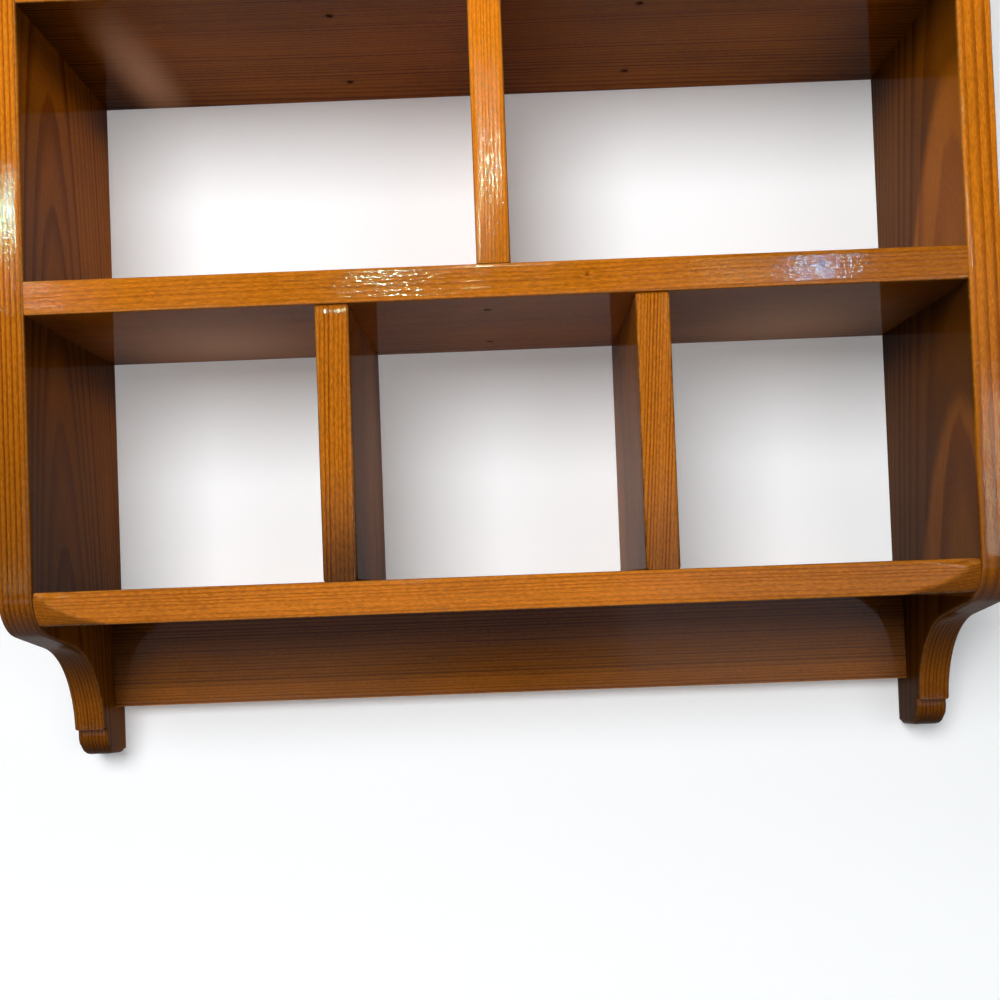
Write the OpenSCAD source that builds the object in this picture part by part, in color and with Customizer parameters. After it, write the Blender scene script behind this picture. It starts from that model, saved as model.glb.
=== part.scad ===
// Wall-hung shadow box shelf in varnished softwood boards.
// Two scrolled sides carry four shelves. The tiers between the shelves are split by upright
// dividers into three, two and three bays. A rail under the bottom shelf and one over the top
// shelf close the back. Everything is butted and nailed.
//
// Units are millimetres. X runs to the right as seen from the front, Y runs from the front into
// the wall, Z is up. The origin is on the wall plane, midway between the two hanging holes.

/* [Case] */
// Clear width between the two sides
inner_w = 508; // [430:1:620]
// Depth of the case from its front to the wall
depth = 140; // [120:1:180]
// Thickness of the two sides
side_t = 19; // [15:0.5:25]
// Thickness of the four shelves
shelf_t = 18.5; // [15:0.5:22]
// Thickness of the five dividers
divider_t = 18.5; // [15:0.5:25]

/* [Tiers] */
// Clear height of the lower tier
lower_tier_h = 149.5; // [110:0.5:220]
// Clear height of the middle tier
middle_tier_h = 152; // [110:0.5:220]
// Clear height of the upper tier
upper_tier_h = 150; // [110:0.5:220]
// Width of the left bay of the lower tier
lower_left_bay_w = 156.5; // [110:0.5:200]
// Width of the right bay of the lower tier
lower_right_bay_w = 160; // [110:0.5:200]
// Width of the left bay of the upper tier
upper_left_bay_w = 157; // [110:0.5:200]
// Width of the right bay of the upper tier
upper_right_bay_w = 157; // [110:0.5:200]

/* [Scrolled ends of the sides] */
// Length of a scroll, from the inner face of the outermost shelf to the tip of the foot
scroll_h = 105.5; // [95:0.5:140]
// Distance from that shelf face to the start of the nose
nose_start = 1; // [0:0.5:6]
// Radius of the convex nose
nose_r = 24; // [14:0.5:32]
// Slope of the straight run behind the nose, in degrees
run_slope = 12; // [4:1:20]
// Radius of the cove
cove_r = 58; // [40:0.5:68]
// Depth of the leg where the cove runs out
leg_d = 38; // [32:0.5:46]
// Height of the foot below the leg
foot_h = 19; // [16:0.5:24]
// How far the foot is set back from the front of the leg
foot_step = 5; // [2:0.5:8]
// Radius of the foot's front corner
foot_front_r = 14; // [6:0.5:15]
// Radius of the foot's back corner
foot_back_r = 4.5; // [2:0.5:8]

/* [Rails] */
// Height of the rail under the bottom shelf
bottom_rail_h = 56; // [40:0.5:64]
// Height of the rail over the top shelf
top_rail_h = 56; // [40:0.5:64]
// Thickness of both rails
rail_t = 18.5; // [12:0.5:25]

/* [Eased arrises] */
// Rounding of the front arrises of the sides, which also runs round the scrolls
side_ease = 2; // [0.5:0.1:4]
// Rounding of the front arrises of the shelves
shelf_ease = 1.2; // [0.4:0.1:3]
// Rounding of the front arrises of the dividers
divider_ease = 2; // [0.5:0.1:4]
// Rounding of the front top end of the dividers
divider_end_ease = 2.5; // [0.5:0.1:4]
// Rounding of the front arrises of the rails
rail_ease = 1; // [0.4:0.1:3]
// Length over which the nose curve worked on the ends of an outer shelf fades out
corner_fade = 44; // [15:1:60]

/* [Hanging holes] */
// Distance between the two hanging holes
hanging_spacing = 406.4; // [300:0.1:420]
// Diameter of a hanging hole
hanging_d = 5; // [4:0.1:6]
// Diameter of its countersink
countersink_d = 10; // [7:0.1:12]

/* [Finishing nails] */
// Length of a nail
nail_l = 50.8; // [38:0.1:63]
// Diameter of the shank
nail_d = 2.3; // [1.6:0.1:2.8]
// Diameter of the head
nail_head_d = 3.4; // [3:0.1:4.5]
// Height of the straight part of the head
nail_head_h = 1.2; // [0.6:0.1:2]
// Length of the taper under the head
nail_neck_h = 1; // [0.5:0.1:2]
// Length of the point
nail_point_h = 4; // [2:0.5:8]
// Depth that the heads are set below the surface
nail_set = 2; // [1:0.1:4]
// Distance of a nail from the front or back edge of the case
nail_inset = 28; // [20:0.5:40]
// Offset of the nails in the foot of the middle divider from its centre, as they were driven
middle_foot_nail_x = -4.5; // [-5:0.5:5]
// Distance of a nail from the upper or lower edge of a rail
rail_nail_inset = 14; // [8:0.5:18]
// Clearance all round a nail
nail_clearance = 0.05; // [0.02:0.01:0.2]

/* [Hidden] */
$fn = 64;

// How far a cutter runs past the face that it opens
past = 1;
// How far the worked curves stay off a true tangent, so that no face runs out to nothing
off_tangent = 0.005;
// How far the front of a straight leg stands out from the cove's deepest point, so that they cross
leg_land = 0.02;

varnish_amber = "#b8722a";
varnish_dark = "#8f5320";
nail_steel = "#6e6a64";

outer_w = inner_w + 2 * side_t;

// Levels of the undersides of the shelves and of the rails, from the hanging holes down
top_shelf_z = -top_rail_h / 2 - shelf_t;
upper_middle_shelf_z = top_shelf_z - upper_tier_h - shelf_t;
lower_middle_shelf_z = upper_middle_shelf_z - middle_tier_h - shelf_t;
bottom_shelf_z = lower_middle_shelf_z - lower_tier_h - shelf_t;
top_rail_z = top_shelf_z + shelf_t;
bottom_rail_z = bottom_shelf_z - bottom_rail_h;
shelf_levels = [bottom_shelf_z, lower_middle_shelf_z, upper_middle_shelf_z, top_shelf_z];

// Levels where the noses of the lower and upper scroll start
lower_nose_z = bottom_shelf_z + shelf_t - nose_start;
upper_nose_z = top_shelf_z + nose_start;

// The dividers of each tier: the centre across the case, and how far the foot nails stand off it
lower_dividers = [
    [-inner_w / 2 + lower_left_bay_w + divider_t / 2, 0],
    [inner_w / 2 - lower_right_bay_w - divider_t / 2, 0]
];
middle_dividers = [[0, middle_foot_nail_x]];
upper_dividers = [
    [-inner_w / 2 + upper_left_bay_w + divider_t / 2, 0],
    [inner_w / 2 - upper_right_bay_w - divider_t / 2, 0]
];

// Where the nails stand, front and back
nail_y = [-depth + nail_inset, -nail_inset];

// The scroll in side view: u runs back from the front of the case, v down from the nose's start.
// The nose, the straight run and the cove are tangent to each other.
scroll_v = scroll_h - nose_start;
foot_v = scroll_v - foot_h;
leg_u = depth - leg_d;
foot_u = leg_u + foot_step;
run_length = (leg_u - (nose_r + cove_r) * (1 - sin(run_slope))) / cos(run_slope);
cove_centre_v = (nose_r + cove_r) * cos(run_slope) + run_length * sin(run_slope);
// Length of the leg's front below the cove's centre, negative where the cove ends above that
leg_run = foot_v + past - cove_centre_v;
// How far the cove's arris runs on beside a straight leg, until it is well clear of the leg's own
cove_overrun = 3 * sqrt(2 * cove_r * leg_land);

// How deep the nose curve cuts into an outer shelf's far arris, and the turn that fades it out
corner_v = min(shelf_t - nose_start, nose_r);
corner_cut = nose_r - sqrt(nose_r * nose_r - corner_v * corner_v);
corner_turn = atan(corner_cut / corner_fade);

// A rectangle from (0, 0) to (w, d) with its two lower corners rounded
module eased_front(w, d, r) {
    translate([r, 0]) square([w - 2 * r, d]);
    translate([0, r]) square([w, d - r]);
    for (x = [r, w - r]) translate([x, r]) circle(r);
}

// The foot in side view, with v downwards: square where it joins the leg, round at the tip
module foot_outline() {
    difference() {
        translate([foot_u, foot_v]) square([depth - foot_u, foot_h]);
        translate([foot_u, scroll_v]) corner_waste(foot_front_r, 1);
        translate([depth, scroll_v]) corner_waste(foot_back_r, -1);
    }
}

// What a round takes off a square corner at the origin, with the material towards (dir, -1)
module corner_waste(r, dir) {
    difference() {
        translate([dir > 0 ? -past : -r, -r]) square(r + past);
        translate([dir * r, -r]) circle(r);
    }
}

// Turns the side view about the nose's centre: X points out of the straight run, which goes to -Y
module nose_frame() {
    translate([nose_r, 0, 0]) rotate([0, 0, 90 + run_slope]) children();
}

// What is sawn off below the nose, the straight run and the cove, and in front of the leg
module scroll_cut() {
    translate([-off_tangent, 0]) {
        nose_frame() {
            difference() {
                square(scroll_v);
                circle(nose_r);
            }
            translate([nose_r, -run_length]) square([scroll_v, run_length]);
            translate([nose_r + cove_r, -run_length]) circle(cove_r, $fn = 160);
        }
        translate([-past, cove_centre_v]) square([leg_u - leg_land + past, scroll_v]);
    }
}

// One scroll in side view, with v downwards from the start of the nose
module scroll_outline() {
    difference() {
        square([depth, foot_v]);
        scroll_cut();
    }
    foot_outline();
}

// A whole side in side view: u from the front, v up from the hanging holes
module side_outline() {
    translate([0, lower_nose_z]) square([depth, upper_nose_z - lower_nose_z]);
    translate([0, lower_nose_z]) mirror([0, 1]) scroll_outline();
    translate([0, upper_nose_z]) scroll_outline();
}

// Turns a solid in side view, (u, v up, w across the case), so that its w starts at x
module side_view(x) {
    translate([x, -depth, 0]) rotate([90, 0, 90]) children();
}

// Turns a side view outline into a slab t thick that starts at x
module slab(x, t) {
    side_view(x) linear_extrude(t) children();
}

// What easing takes off both arrises of a side's edge, as (depth behind the edge, w)
module arris_waste() {
    translate([-off_tangent, 0]) {
        mirror([0, 1]) corner_waste(side_ease, 1);
        translate([0, side_t]) corner_waste(side_ease, 1);
    }
}

// The waste on a straight edge that runs from the origin to -Y and faces +X
module straight_arris(length) {
    rotate([90, 0, 0]) linear_extrude(length) mirror([1, 0]) arris_waste();
}

// The waste on an edge that bulges round the origin, from the X axis on
module round_arris(r, turn) {
    rotate_extrude(angle = turn) translate([r, 0]) mirror([1, 0]) arris_waste();
}

// The waste on an edge that is hollow round the origin, from the X axis on
module hollow_arris(r, turn) {
    rotate_extrude(angle = turn) translate([r, 0]) arris_waste();
}

// The waste along one scroll. Each stretch starts square to the end of the one before it.
module scroll_arrises() {
    translate([-off_tangent, 0, 0]) {
        nose_frame() {
            round_arris(nose_r, 90 - run_slope);
            translate([nose_r, 0, 0]) straight_arris(run_length);
            translate([nose_r + cove_r, -run_length, 0]) rotate([0, 0, 180])
                hollow_arris(cove_r, 90 - run_slope + asin(min(leg_run, cove_overrun) / cove_r));
        }
        if (leg_run > 0)
            translate([leg_u - leg_land, cove_centre_v, 0]) rotate([0, 0, 180])
                straight_arris(leg_run);
    }
    translate([foot_u, foot_v, 0]) rotate([0, 0, 180]) straight_arris(foot_h - foot_front_r);
    translate([foot_u + foot_front_r, scroll_v - foot_front_r, 0]) rotate([0, 0, 90]) {
        round_arris(foot_front_r, 90);
        translate([foot_front_r, 0, 0])
            straight_arris(depth - foot_u - foot_front_r + past);
    }
}

// A side board without its nail holes, starting at x
module side_board(x) {
    side_h = upper_nose_z - lower_nose_z + 2 * scroll_v;
    difference() {
        intersection() {
            slab(x, side_t) side_outline();
            translate([x, -depth, lower_nose_z - scroll_v])
                linear_extrude(side_h) eased_front(side_t, depth, side_ease);
        }
        side_view(x) translate([0, lower_nose_z, 0]) mirror([0, 1, 0]) scroll_arrises();
        side_view(x) translate([0, upper_nose_z, 0]) scroll_arrises();
    }
}

// Section of a shelf in side view, with its front arrises eased
module shelf_section(z) {
    translate([0, z + shelf_t]) rotate(-90) eased_front(shelf_t, depth, shelf_ease);
}

// A shelf board without its nail holes, with its underside at z
module shelf_board(z) {
    slab(-inner_w / 2, inner_w) shelf_section(z);
}

// An outer shelf, whose nose side is down (-1) or up (1). At both ends its corner follows the
// nose of the side, and the cut turns out of the board along the shelf.
module worked_shelf_board(z, nose_z, dir) {
    difference() {
        shelf_board(z);
        corner_cutter(nose_z, dir);
        mirror([1, 0, 0]) corner_cutter(nose_z, dir);
    }
}

// What is worked off the right-hand end of an outer shelf
module corner_cutter(nose_z, dir) {
    translate([inner_w / 2, -depth, nose_z]) rotate([0, 0, corner_turn]) rotate([90, 0, 90])
        translate([0, 0, -2 * corner_fade]) linear_extrude(2 * corner_fade + past)
        scale([1, dir]) translate([0, nose_r]) corner_waste(nose_r, 1);
}

// A divider without its nail holes, centred at x and standing on a shelf at z
module divider_board(x, z, h) {
    intersection() {
        translate([x - divider_t / 2, -depth, z])
            linear_extrude(h) eased_front(divider_t, depth, divider_ease);
        slab(x - divider_t / 2, divider_t) difference() {
            translate([0, z]) square([depth, h]);
            translate([0, z + h]) corner_waste(divider_end_ease, 1);
        }
    }
}

// A rail without its holes, flush with the wall plane, with its lower edge at z
module rail_board(z, h) {
    slab(-inner_w / 2, inner_w)
        translate([depth - rail_t, z + h]) rotate(-90) eased_front(h, rail_t, rail_ease);
}

// A countersunk hole through a rail, from the wall plane to the rail's front
module hanging_hole(x) {
    hole_r = hanging_d / 2;
    sink_r = countersink_d / 2;
    translate([x, 0, 0]) rotate([90, 0, 0]) rotate_extrude() polygon([
        [0, -past], [hole_r, -past], [hole_r, rail_t - sink_r + hole_r],
        [sink_r, rail_t], [sink_r, rail_t + past], [0, rail_t + past]
    ]);
}

// A nail driven down, whose head is set below the face at the origin
module nail() {
    neck = nail_set + nail_head_h;
    tip = nail_set + nail_l;
    rotate_extrude() polygon([
        [0, -nail_set], [nail_head_d / 2, -nail_set], [nail_head_d / 2, -neck],
        [nail_d / 2, -neck - nail_neck_h], [nail_d / 2, -tip + nail_point_h], [0, -tip]
    ]);
}

// The hole that a nail and the punch which sets it leave in the boards
module nail_hole() {
    head_r = nail_head_d / 2 + nail_clearance;
    shank_r = nail_d / 2 + nail_clearance;
    neck = nail_set + nail_head_h + nail_clearance;
    end = nail_set + nail_l + nail_clearance;
    rotate_extrude() polygon([
        [0, past], [head_r, past], [head_r, -neck],
        [shank_r, -neck - nail_neck_h], [shank_r, -end], [0, -end]
    ]);
}

// Puts its child at each nail between a side and the shelves at the given levels.
// dir is -1 for the left side and 1 for the right side.
module at_shelf_ends(dir, levels) {
    for (z = levels, y = nail_y)
        translate([dir * outer_w / 2, y, z + shelf_t / 2]) rotate([0, dir * 90, 0]) children();
}

// Puts its child at the nails between a side and the rail whose lower edge is at z
module at_rail_end(dir, z, h) {
    for (v = [rail_nail_inset, h - rail_nail_inset])
        translate([dir * outer_w / 2, -rail_t / 2, z + v]) rotate([0, dir * 90, 0]) children();
}

// Puts its child at the nails driven up through the shelf at z into the foot of a divider on it
module at_divider_foot(place, z) {
    for (y = nail_y)
        translate([place[0] + place[1], y, z]) rotate([180, 0, 0]) children();
}

// Puts its child at the nails driven down through the shelf at z into the head of a divider
module at_divider_head(place, z) {
    for (y = nail_y)
        translate([place[0], y, z + shelf_t]) children();
}

// A side with the holes of its nails; dir is -1 for the left and 1 for the right
module side(dir) {
    color(varnish_amber)
    difference() {
        side_board(dir < 0 ? -outer_w / 2 : inner_w / 2);
        at_shelf_ends(dir, shelf_levels) nail_hole();
        at_rail_end(dir, bottom_rail_z, bottom_rail_h) nail_hole();
        at_rail_end(dir, top_rail_z, top_rail_h) nail_hole();
    }
}

// Cuts the nail holes of a shelf at z: its ends, the dividers on it and the dividers under it
module drilled_shelf(z, dividers_on, dividers_under) {
    color(varnish_amber)
    difference() {
        children();
        for (dir = [-1, 1]) at_shelf_ends(dir, [z]) nail_hole();
        for (place = dividers_on) at_divider_foot(place, z) nail_hole();
        for (place = dividers_under) at_divider_head(place, z) nail_hole();
    }
}

// A divider between the shelves whose undersides are at floor_z and ceiling_z
module divider(place, floor_z, ceiling_z) {
    color(varnish_amber)
    difference() {
        divider_board(place[0], floor_z + shelf_t, ceiling_z - floor_z - shelf_t);
        at_divider_foot(place, floor_z) nail_hole();
        at_divider_head(place, ceiling_z) nail_hole();
    }
}

// The nails of all dividers in one tier
module divider_nails(dividers, floor_z, ceiling_z) {
    color(nail_steel)
    for (place = dividers) {
        at_divider_foot(place, floor_z) nail();
        at_divider_head(place, ceiling_z) nail();
    }
}

// The nails at both ends of a rail
module rail_nails(z, h) {
    color(nail_steel)
    for (dir = [-1, 1]) at_rail_end(dir, z, h) nail();
}

module left_side() {
    side(-1);
}

module right_side() {
    side(1);
}

module bottom_shelf() {
    drilled_shelf(bottom_shelf_z, lower_dividers, [])
        worked_shelf_board(bottom_shelf_z, lower_nose_z, -1);
}

module lower_middle_shelf() {
    drilled_shelf(lower_middle_shelf_z, middle_dividers, lower_dividers)
        shelf_board(lower_middle_shelf_z);
}

module upper_middle_shelf() {
    drilled_shelf(upper_middle_shelf_z, upper_dividers, middle_dividers)
        shelf_board(upper_middle_shelf_z);
}

module top_shelf() {
    drilled_shelf(top_shelf_z, [], upper_dividers)
        worked_shelf_board(top_shelf_z, upper_nose_z, 1);
}

module lower_left_divider() {
    divider(lower_dividers[0], bottom_shelf_z, lower_middle_shelf_z);
}

module lower_right_divider() {
    divider(lower_dividers[1], bottom_shelf_z, lower_middle_shelf_z);
}

module middle_divider() {
    divider(middle_dividers[0], lower_middle_shelf_z, upper_middle_shelf_z);
}

module upper_left_divider() {
    divider(upper_dividers[0], upper_middle_shelf_z, top_shelf_z);
}

module upper_right_divider() {
    divider(upper_dividers[1], upper_middle_shelf_z, top_shelf_z);
}

module bottom_rail() {
    color(varnish_dark)
    difference() {
        rail_board(bottom_rail_z, bottom_rail_h);
        for (dir = [-1, 1]) at_rail_end(dir, bottom_rail_z, bottom_rail_h) nail_hole();
    }
}

module top_rail() {
    color(varnish_dark)
    difference() {
        rail_board(top_rail_z, top_rail_h);
        for (dir = [-1, 1]) at_rail_end(dir, top_rail_z, top_rail_h) nail_hole();
        for (dir = [-1, 1]) hanging_hole(dir * hanging_spacing / 2);
    }
}

module left_side_nails() {
    color(nail_steel) at_shelf_ends(-1, shelf_levels) nail();
}

module right_side_nails() {
    color(nail_steel) at_shelf_ends(1, shelf_levels) nail();
}

module bottom_rail_nails() {
    rail_nails(bottom_rail_z, bottom_rail_h);
}

module top_rail_nails() {
    rail_nails(top_rail_z, top_rail_h);
}

module lower_divider_nails() {
    divider_nails(lower_dividers, bottom_shelf_z, lower_middle_shelf_z);
}

module middle_divider_nails() {
    divider_nails(middle_dividers, lower_middle_shelf_z, upper_middle_shelf_z);
}

module upper_divider_nails() {
    divider_nails(upper_dividers, upper_middle_shelf_z, top_shelf_z);
}

left_side();
right_side();
bottom_shelf();
lower_middle_shelf();
upper_middle_shelf();
top_shelf();
lower_left_divider();
lower_right_divider();
middle_divider();
upper_left_divider();
upper_right_divider();
bottom_rail();
top_rail();
left_side_nails();
right_side_nails();
bottom_rail_nails();
top_rail_nails();
lower_divider_nails();
middle_divider_nails();
upper_divider_nails();
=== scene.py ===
import math

import bmesh
import bpy
from mathutils import Matrix, Vector, geometry, noise


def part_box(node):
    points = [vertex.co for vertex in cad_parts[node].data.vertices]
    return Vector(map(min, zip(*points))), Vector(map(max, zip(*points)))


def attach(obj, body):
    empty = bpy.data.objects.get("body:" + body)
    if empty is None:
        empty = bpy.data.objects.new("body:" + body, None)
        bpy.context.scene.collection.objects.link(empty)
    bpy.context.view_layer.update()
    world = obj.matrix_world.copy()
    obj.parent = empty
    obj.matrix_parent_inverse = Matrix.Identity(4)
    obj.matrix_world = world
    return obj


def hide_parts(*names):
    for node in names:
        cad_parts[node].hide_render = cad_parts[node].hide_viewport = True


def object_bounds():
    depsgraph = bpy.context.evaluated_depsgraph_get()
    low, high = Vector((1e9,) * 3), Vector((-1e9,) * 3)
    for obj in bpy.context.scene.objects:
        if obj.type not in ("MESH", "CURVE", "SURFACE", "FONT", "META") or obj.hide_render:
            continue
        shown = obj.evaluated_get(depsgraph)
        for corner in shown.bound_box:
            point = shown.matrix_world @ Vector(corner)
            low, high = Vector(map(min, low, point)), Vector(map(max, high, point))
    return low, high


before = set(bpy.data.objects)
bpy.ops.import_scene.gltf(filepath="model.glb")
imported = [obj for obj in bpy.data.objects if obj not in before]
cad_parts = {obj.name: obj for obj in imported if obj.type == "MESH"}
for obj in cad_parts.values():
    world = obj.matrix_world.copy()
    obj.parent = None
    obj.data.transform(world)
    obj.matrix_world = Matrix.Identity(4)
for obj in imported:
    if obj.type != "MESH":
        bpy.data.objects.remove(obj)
cad_lo, cad_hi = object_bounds()

# The scroll of the sides, as in the part's source
SCROLL_V = 0.1045
NOSE_R = 0.024
RUN_SLOPE = math.radians(12)
COVE_R = 0.058
LEG_D = 0.038
FOOT_H = 0.019
FOOT_STEP = 0.005
FOOT_FRONT_R = 0.014
FOOT_BACK_R = 0.0045

# How much higher than in the source the foot's front corner lies
FOOT_LIFT = 0.0015

# Radii of the arrises
SIDE_EASE = 0.002
FOOT_EASE = 0.003
SHELF_EASE = 0.0012
DIVIDER_EASE = 0.002
DIVIDER_END_EASE = 0.0025
RAIL_EASE = 0.001
SAWN_EASE = 0.0004

# The worked ends of an outer shelf: how much further back than the nose of the side they were
# taken, how fast that fades along the shelf, and how deep behind the front edge it still moves
CORNER_EXTRA = 0.0011
CORNER_SLOPE = 0.2
CORNER_DEPTH = 0.03

# The bevel on the front edge where the nose curve starts, and how far along the shelf it reaches
TOP_BEVEL = 0.0042
TOP_BEVEL_REACH = 0.034

# Nails: their distance from the front and back edges, and the holes that their heads stand in
NAIL_INSET = 0.028
RAIL_NAIL_INSET = 0.014
HEAD_HOLE_R = 0.00175
HEAD_HOLE_DEPTH = 0.00325
MIDDLE_FOOT_NAIL_X = -0.0045

# Hanging holes
HANGING_X = 0.2032
HANGING_R = 0.0025
COUNTERSINK_R = 0.005

# Mesh steps, the strip of face beside each arris, and the part of a rim that its rows leave free
OUTLINE_STEP = 0.004
WORKED_STEP = 0.002
ARC_STEPS = 4
HOLE_STEPS = 20
GUARD = 0.0012
RIM_MARGIN = 0.0032

# The Delaunay fill: its kind of output, which is triangles within the rim, and its tolerance
FILL_INSIDE = 2
FILL_TOLERANCE = 1e-8

SHELVES = ("bottom_shelf", "lower_middle_shelf", "upper_middle_shelf", "top_shelf")
SHELF_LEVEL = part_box("upper_middle_shelf")[0].z * 1000
SHELF_PITCH = SHELF_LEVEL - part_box("lower_middle_shelf")[0].z * 1000


# Outlines

def arc(centre, radius, start, end, steps):
    """Points of a circular arc, angles in degrees, both ends included."""
    points = []
    for i in range(steps + 1):
        angle = math.radians(start + (end - start) * i / steps)
        points.append((centre[0] + radius * math.cos(angle), centre[1] + radius * math.sin(angle)))
    return points


def scroll_points():
    """One scroll in side view, from the back of the foot to the start of the nose.
    u runs back from the front of the case, v down from the start of the nose."""
    depth = cad_hi.y - cad_lo.y
    slope = math.degrees(RUN_SLOPE)
    leg_u = depth - LEG_D
    foot_v = SCROLL_V - FOOT_H
    foot_u = leg_u + FOOT_STEP
    nose_end = (NOSE_R * (1 - math.sin(RUN_SLOPE)), NOSE_R * math.cos(RUN_SLOPE))
    cove_u = leg_u - COVE_R * (1 - math.sin(RUN_SLOPE))
    cove_v = nose_end[1] + (cove_u - nose_end[0]) * math.tan(RUN_SLOPE)
    cove_centre = (leg_u - COVE_R, cove_v + COVE_R * math.cos(RUN_SLOPE))
    back_corner = arc((depth - FOOT_BACK_R, SCROLL_V - FOOT_BACK_R), FOOT_BACK_R, 0, 90, 6)
    front_v = SCROLL_V - FOOT_LIFT - FOOT_FRONT_R
    front_corner = arc((foot_u + FOOT_FRONT_R, front_v), FOOT_FRONT_R, 90, 180, 10)
    cove_end = math.degrees(math.asin((foot_v - cove_centre[1]) / COVE_R))
    cove = arc(cove_centre, COVE_R, cove_end, -90 + slope, 24)
    nose = arc((NOSE_R, 0), NOSE_R, 90 + slope, 180, 14)
    return back_corner + front_corner + [(foot_u, foot_v)] + cove + nose


def side_outline(lo, hi):
    """A side in side view as (y, z, arris radius), with both scrolls."""
    front, back = lo.y, hi.y
    lower, upper = lo.z + SCROLL_V, hi.z - SCROLL_V
    scroll = scroll_points()
    eased = [(u, v, FOOT_EASE if v > SCROLL_V - 0.008 else SIDE_EASE) for u, v in scroll]
    ring = [(front + u, lower - v, r) for u, v, r in eased]
    ring += [(front + u, upper + v, r) for u, v, r in reversed(eased)]
    return [(y, z, SAWN_EASE if y > back - 0.001 else r) for y, z, r in ring]


def plain_outline(u0, u1, v0, v1, front_r, other_r):
    """A rectangle as (u, v, arris radius), whose edge at u0 is the eased front."""
    inset = 0.003
    return [
        (u1, v0, other_r), (u1, v1, other_r),
        (u0 + inset, v1, other_r), (u0, v1, front_r),
        (u0, v0, front_r), (u0 + inset, v0, other_r),
    ]


def divider_outline(lo, hi):
    """A divider in side view, with its front top end rounded."""
    r = DIVIDER_END_EASE
    top = [(y, z, DIVIDER_EASE) for y, z in arc((lo.y + r, hi.z - r), r, 90, 180, 6)]
    foot = [(lo.y, lo.z, DIVIDER_EASE), (lo.y + 0.004, lo.z, SAWN_EASE)]
    return [(hi.y, lo.z, SAWN_EASE), (hi.y, hi.z, SAWN_EASE)] + top + foot


def sampled(ring, step):
    """The ring with its long edges cut up, and the radius carried along them.
    Near a sharp corner no point is added, so that the inset rings don't cross there."""
    count = len(ring)
    points = []
    for i, (u, v, r) in enumerate(ring):
        u2, v2, r2 = ring[(i + 1) % count]
        length = math.hypot(u2 - u, v2 - v)
        clear = [2 * max(r, r2) + GUARD if turned(ring, k % count) else 0 for k in (i, i + 1)]
        pieces = max(1, math.ceil(length / step))
        points.append((u, v, r))
        for k in range(1, pieces):
            t = k / pieces
            if clear[0] < t * length < length - clear[1]:
                points.append((u + (u2 - u) * t, v + (v2 - v) * t, r + (r2 - r) * t))
    return points


def turned(ring, i):
    """True where the ring turns by more than 40 degrees at a point."""
    here = Vector(ring[i][:2])
    before = here - Vector(ring[i - 1][:2])
    after = Vector(ring[(i + 1) % len(ring)][:2]) - here
    return before.angle(after, 0) > math.radians(40)


def mitres(points):
    """For each point of a closed ring, the inward vector that offsets both its edges by one."""
    count = len(points)
    area = sum(
        points[i][0] * points[(i + 1) % count][1] - points[(i + 1) % count][0] * points[i][1]
        for i in range(count)
    )
    turn = 1 if area > 0 else -1
    normals = []
    for i in range(count):
        edge = Vector(points[(i + 1) % count][:2]) - Vector(points[i][:2])
        edge.normalize()
        normals.append(Vector((-edge.y, edge.x)) * turn)
    result = []
    for i in range(count):
        before, after = normals[i - 1], normals[i]
        result.append((before + after) / max(0.35, 1 + before.dot(after)))
    return result


# Boards

def rim_profile(rows):
    """How a board's rim runs from one face to the other, as
    (share of the radius inset, length inset, the same two downwards, wear and painted highlight,
    share of the way across). The wear and painted highlight are greatest at the middle of the
    arris."""
    half = [(1, GUARD, 0, 0, 0)]
    for i in range(ARC_STEPS + 1):
        angle = math.pi / 2 * i / ARC_STEPS
        half.append((1 - math.sin(angle), 0, 1 - math.cos(angle), 0, math.sin(2 * angle) ** 2))
    half.append((0, 0, 1, GUARD, 0))
    rim = [(*step, 0) for step in half]
    rim += [(0, 0, 0, 0, 0, i / rows) for i in range(1, rows)]
    rim += [(*step, 1) for step in reversed(half)]
    return rim


def wear(point, seed):
    """How much more than its radius an arris is worn at a point, from about -0.2 to 0.6."""
    slow = noise.noise(point * 22 + Vector((seed, 0, 0)))
    nicks = noise.noise(point * 110 + Vector((0, seed, 0)))
    return 0.25 * slow + 1.2 * max(0, nicks - 0.5)


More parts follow.
